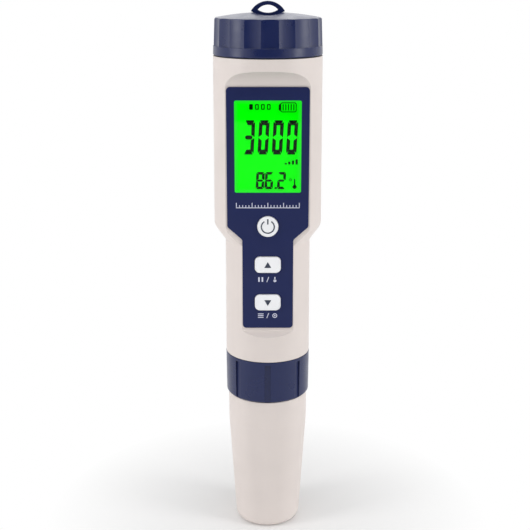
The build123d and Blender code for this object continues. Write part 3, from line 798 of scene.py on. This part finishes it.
class TESTER_OT_film_marks(Operator):
    """Print the pale scale and the small signs on the front film"""
    bl_idname = "tester.film_marks"
    bl_label = "Film marks"

    def execute(self, context):
        depth = context.scene.tester_sizes.ink_depth
        face = film_low[1]
        parts = [plate(0, SCALE_BOTTOM, 22.0 * MM, LINE, face, depth)]
        for place in range(-10, 11):
            tall = 1.75 if place % 5 == 0 else 0.95
            parts.append(plate(
                place * SCALE_STEP, SCALE_BOTTOM + tall * MM / 2, LINE, tall * MM, face, depth
            ))
        for x in (-3.1, -1.9):
            parts.append(plate(x * MM, UP_MARKS_Z, 0.55 * MM, 1.7 * MM, face, depth, corner=0.08 * MM))
        parts.append(plate(0, UP_MARKS_Z, LINE, 2.0 * MM, face, depth, turn=SLASH_TURN))
        parts.append(plate(MARK_X, 99.15 * MM, 0.42 * MM, 1.3 * MM, face, depth, corner=0.18 * MM))
        parts.append(disc(MARK_X, 98.4 * MM, 0.52 * MM, face, depth))
        for z in (84.75, 85.4, 86.05):
            parts.append(plate(-MARK_X, z * MM, 2.0 * MM, 0.28 * MM, face, depth))
        parts.append(plate(0, DOWN_MARKS_Z, LINE, 2.0 * MM, face, depth, turn=SLASH_TURN))
        parts.append(arc(MARK_X, DOWN_MARKS_Z, 0.72 * MM, LINE, face, depth, steps=28))
        parts.append(disc(MARK_X, DOWN_MARKS_Z, 0.28 * MM, face, depth, sides=16))
        joined(parts, "film_marks", "film_marks", "housing")
        return {"FINISHED"}


class TESTER_OT_neck_threads(Operator):
    """Add the two threads of the battery cap: broken ridges on the neck and a ridge inside the cap"""
    bl_idname = "tester.neck_threads"
    bl_label = "Battery cap threads"

    def execute(self, context):
        sizes = context.scene.tester_sizes
        pitch = sizes.neck_pitch
        depth = sizes.thread_depth
        ridges = []
        for place in range(2 * sizes.thread_turns):
            start = 12 + 180 * place
            ridges.append(thread_arc(
                NECK_RADIUS, depth, NECK_RIDGE, NECK_BOTTOM + pitch * start / 360, pitch, start, sweep=156
            ))
        joined(ridges, "neck_thread", "housing_plastic", "housing")
        inside = [thread_arc(
            NECK_RADIUS + THREAD_ROOM, -depth, NECK_RIDGE, NECK_BOTTOM + pitch / 2, pitch, 0,
            sweep=900, steps=160,
        )]
        joined(inside, "cap_thread", "cap_plastic", "battery_cap")
        return {"FINISHED"}


class TESTER_OT_foot_threads(Operator):
    """Add the two threads of the collar: a ridge on the lower neck and one inside the collar"""
    bl_idname = "tester.foot_threads"
    bl_label = "Collar threads"

    def execute(self, context):
        sizes = context.scene.tester_sizes
        pitch = sizes.foot_pitch
        depth = sizes.thread_depth
        ridge = [thread_arc(FOOT_RADIUS, depth, FOOT_RIDGE, FOOT_BOTTOM, pitch, 0, sweep=1080, steps=180)]
        joined(ridge, "foot_thread", "housing_plastic", "housing")
        inside = [thread_arc(
            FOOT_RADIUS + THREAD_ROOM, -depth, FOOT_RIDGE, FOOT_BOTTOM + pitch / 2, pitch, 0,
            sweep=1080, steps=180,
        )]
        joined(inside, "collar_thread", "cap_plastic", "collar")
        return {"FINISHED"}


class TESTER_OT_cell_mark(Operator):
    """Print the pole sign on the top cell"""
    bl_idname = "tester.cell_mark"
    bl_label = "Cell mark"

    def execute(self, context):
        sizes = context.scene.tester_sizes
        place = (0, (cells_low[1] + cells_high[1]) / 2 - CELL_MARK_SHIFT, cells_high[2])
        arms = []
        for turn in (0, math.pi / 2):
            deselect()
            bpy.ops.mesh.primitive_plane_add(size=1, location=place, rotation=(0, 0, turn))
            arm = bpy.context.object
            settle(arm, (1.3 * MM, 0.3 * MM, 1))
            bpy.ops.object.mode_set(mode="EDIT")
            bpy.ops.mesh.select_all(action="SELECT")
            bpy.ops.mesh.bevel(offset=0.06 * MM, segments=3, affect="VERTICES")
            thicken((0, 0, sizes.ink_depth))
            arms.append(arm)
        joined(arms, "cell_mark", "cell_marks", "housing")
        return {"FINISHED"}


class TESTER_OT_studio(Operator):
    """Set the pale floor, the soft lamps, the world and the camera"""
    bl_idname = "tester.studio"
    bl_label = "Studio"

    def execute(self, context):
        deselect()
        bpy.ops.mesh.primitive_circle_add(
            vertices=96, radius=FLOOR_RADIUS, fill_type="NGON", location=(0, 0, 0)
        )
        floor = context.object
        bpy.ops.object.mode_set(mode="EDIT")
        bpy.ops.mesh.select_all(action="SELECT")
        bpy.ops.mesh.inset(thickness=FLOOR_INSET)
        bpy.ops.object.mode_set(mode="OBJECT")
        floor.name = "studio_floor"
        floor.data.materials.append(floor_finish())
        bpy.ops.mesh.primitive_plane_add(size=1, location=CARD_PLACE, rotation=(math.pi / 2, 0, 0))
        card = context.object
        settle(card, CARD_SIZE)
        bpy.ops.object.mode_set(mode="EDIT")
        bpy.ops.mesh.subdivide(number_cuts=4)
        bpy.ops.object.mode_set(mode="OBJECT")
        card.name = "studio_card"
        card.data.materials.append(card_finish())
        card.visible_camera = card.visible_diffuse = card.visible_shadow = card.visible_transmission = False
        for name, place, aim, size, power in LAMPS:
            bpy.ops.object.light_add(type="AREA", location=place)
            lamp = context.object
            lamp.name = name
            lamp.data.shape = "RECTANGLE"
            lamp.data.size, lamp.data.size_y = size
            lamp.data.energy = power
            lamp.rotation_euler = (Vector(aim) - Vector(place)).to_track_quat("-Z", "Y").to_euler()
        world = bpy.data.worlds.new("studio_world")
        context.scene.world = world
        world.use_nodes = True
        tree = world.node_tree
        pale = tree.nodes["Background"]
        pale.inputs["Color"].default_value = (1, 1, 1, 1)
        pale.inputs["Strength"].default_value = WORLD_STRENGTH
        seen = tree.nodes.new("ShaderNodeBackground")
        seen.inputs["Color"].default_value = (1, 1, 1, 1)
        seen.inputs["Strength"].default_value = 1.0
        tree.links.new(seen_directly(tree), mix_shaders(tree, pale, seen, tree.nodes["World Output"]))
        bpy.ops.object.camera_add(location=CAMERA_PLACE, rotation=(math.radians(CAMERA_TILT), 0, 0))
        camera = context.object
        camera.name = "studio_camera"
        camera.data.sensor_width = 36.0
        camera.data.lens = CAMERA_LENS
        camera.data.clip_start = 0.01
        context.scene.camera = camera
        context.scene.view_settings.view_transform = "Standard"
        return {"FINISHED"}


OPERATORS = (
    TESTER_OT_finishes,
    TESTER_OT_display_digits,
    TESTER_OT_key_signs,
    TESTER_OT_film_marks,
    TESTER_OT_neck_threads,
    TESTER_OT_foot_threads,
    TESTER_OT_cell_mark,
    TESTER_OT_studio,
)


class TESTER_PT_panel(Panel):
    """The tester's pieces, sizes and colours"""
    bl_idname = "TESTER_PT_panel"
    bl_label = "Pocket water tester"
    bl_space_type = "VIEW_3D"
    bl_region_type = "UI"
    bl_category = "Tester"

    def draw(self, context):
        column = self.layout.column(align=True)
        for piece in OPERATORS:
            column.operator(piece.bl_idname)
        for values in (context.scene.tester_sizes, context.scene.tester_colours):
            column = self.layout.column(align=True)
            for key in values.__annotations__:
                column.prop(values, key)


CLASSES = (TesterColours, TesterSizes, *OPERATORS, TESTER_PT_panel)


def register():
    for made in CLASSES:
        bpy.utils.register_class(made)
    bpy.types.Scene.tester_colours = PointerProperty(type=TesterColours)
    bpy.types.Scene.tester_sizes = PointerProperty(type=TesterSizes)


def unregister():
    del bpy.types.Scene.tester_sizes
    del bpy.types.Scene.tester_colours
    for made in reversed(CLASSES):
        bpy.utils.unregister_class(made)


def main():
    register()
    bpy.ops.tester.finishes()
    bpy.ops.tester.display_digits()
    bpy.ops.tester.key_signs()
    bpy.ops.tester.film_marks()
    bpy.ops.tester.neck_threads()
    bpy.ops.tester.foot_threads()
    bpy.ops.tester.cell_mark()
    bpy.ops.tester.studio()


if __name__ == "__main__":
    main()
